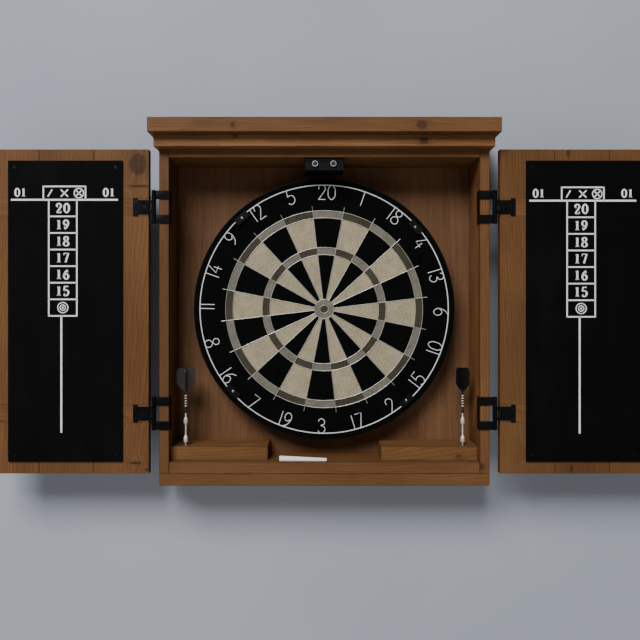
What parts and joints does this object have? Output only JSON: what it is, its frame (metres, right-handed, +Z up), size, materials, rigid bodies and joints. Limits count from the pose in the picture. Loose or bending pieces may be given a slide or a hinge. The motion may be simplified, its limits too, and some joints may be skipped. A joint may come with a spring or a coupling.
{
  "type": "dart board cabinet",
  "caption": "Wall-hung wooden dart board cabinet with two chalkboard doors on wrap hinges, a bristle board, twin push catch, dart rests and chalk.",
  "frame": {"origin": "on the wall plane, straight behind the middle of the bull", "axes": "+Z up, +Y into the wall, +X to the right of a person who faces the board; doors fully open at rest"},
  "size_m": [1.1324, 0.1375, 0.605],
  "materials": {
    "pine": "stained, satin",
    "plywood": "stained, satin",
    "raw_timber": "sawn",
    "catch_plastic": "moulded",
    "bright_steel": "bright",
    "black_iron": "black powder coat",
    "dark_screw": "blackened",
    "slate_black": "matt chalkboard paint",
    "rubber_pad": "matt",
    "fibreboard": "pressed board",
    "black_sisal": "dyed compressed sisal",
    "band_steel": "black enamel",
    "spider_wire": "bright wire",
    "ring_wire": "white coated wire",
    "clip_black": "black",
    "dart_steel": "turned and knurled",
    "shaft_black": "moulded",
    "flight_grey": "film",
    "flight_black": "film",
    "chalk_white": "chalk, powdery",
    "cream_sisal": "undyed sisal ends",
    "light_band_sisal": "taupe-dyed sisal ends",
    "dark_band_sisal": "olive-brown sisal ends",
    "white_print": "screen print"
  },
  "bodies": {
    "cabinet": {"left_side_panel": "pine", "right_side_panel": "pine", "top_board": "pine", "bottom_board": "pine", "back_panel": "plywood", "upper_rail": "raw_timber", "centre_rail": "raw_timber", "lower_rail": "raw_timber", "base_board": "pine", "cornice_lower": "pine", "cornice_upper": "pine", "left_dart_rest": "pine", "right_dart_rest": "pine", "catch_housing": "catch_plastic", "catch_screws": "dark_screw", "left_catch_spring": "bright_steel", "right_catch_spring": "bright_steel", "left_frame_leaves": "black_iron", "right_frame_leaves": "black_iron", "left_frame_leaf_screws": "black_iron", "right_frame_leaf_screws": "black_iron", "left_hinge_pins": "black_iron", "right_hinge_pins": "black_iron", "hanging_bracket": "bright_steel", "bracket_screws": "bright_steel"},
    "left_door": {"left_door_leaves": "black_iron", "left_door_leaf_screws": "dark_screw", "left_door_planks": "pine", "left_door_battens": "pine", "left_chalkboard": "slate_black", "left_chalkboard_screws": "dark_screw", "left_strike_plate": "bright_steel"},
    "right_door": {"right_door_leaves": "black_iron", "right_door_leaf_screws": "dark_screw", "right_door_planks": "pine", "right_door_battens": "pine", "right_chalkboard": "slate_black", "right_chalkboard_screws": "dark_screw", "right_strike_plate": "bright_steel"},
    "left_plunger": {"left_catch_plunger": "bright_steel"},
    "right_plunger": {"right_catch_plunger": "bright_steel"},
    "dartboard": {"hanging_screw": "bright_steel", "rear_spacers": "rubber_pad", "board_backing": "fibreboard", "sisal_face": "black_sisal", "steel_band": "band_steel", "spider": "spider_wire", "bull_ring": "spider_wire", "number_ring": "ring_wire", "ring_clips": "clip_black"},
    "left_dart": {"left_dart_point": "dart_steel", "left_dart_barrel": "dart_steel", "left_dart_shaft": "shaft_black", "left_dart_flight": "flight_grey"},
    "right_dart": {"right_dart_point": "dart_steel", "right_dart_barrel": "dart_steel", "right_dart_shaft": "shaft_black", "right_dart_flight": "flight_black"},
    "chalk_stick": {"chalk": "chalk_white"}
  },
  "joints": [
    {"name": "left_door_hinge", "type": "hinge", "parent": "cabinet", "child": "left_door", "pos_m": [-0.2836, -0.10415, 0], "axis": [0, 0, 1], "range_deg": [0, 180]},
    {"name": "right_door_hinge", "type": "hinge", "parent": "cabinet", "child": "right_door", "pos_m": [0.2836, -0.10415, 0], "axis": [0, 0, -1], "range_deg": [0, 180]},
    {"name": "left_plunger_press", "type": "slide", "parent": "cabinet", "child": "left_plunger", "axis": [0, 1, 0], "range_m": [0, 0.003], "stiffness_N_per_m": 600, "springref_m": -0.004, "deforming": ["left_catch_spring"]},
    {"name": "right_plunger_press", "type": "slide", "parent": "cabinet", "child": "right_plunger", "axis": [0, 1, 0], "range_m": [0, 0.003], "stiffness_N_per_m": 600, "springref_m": -0.004, "deforming": ["right_catch_spring"]},
    {"name": "dartboard_turn", "type": "hinge", "parent": "cabinet", "child": "dartboard", "pos_m": [0, -0.02, 0], "axis": [0, 1, 0], "continuous": true},
    {"name": "left_dart_lift", "type": "slide", "parent": "cabinet", "child": "left_dart", "axis": [0, 0, 1], "range_m": [0, 0.03]},
    {"name": "right_dart_lift", "type": "slide", "parent": "cabinet", "child": "right_dart", "axis": [0, 0, 1], "range_m": [0, 0.03]},
    {"name": "chalk_lift", "type": "slide", "parent": "cabinet", "child": "chalk_stick", "axis": [0, 0, 1], "range_m": [0, 0.03]}
  ]
}
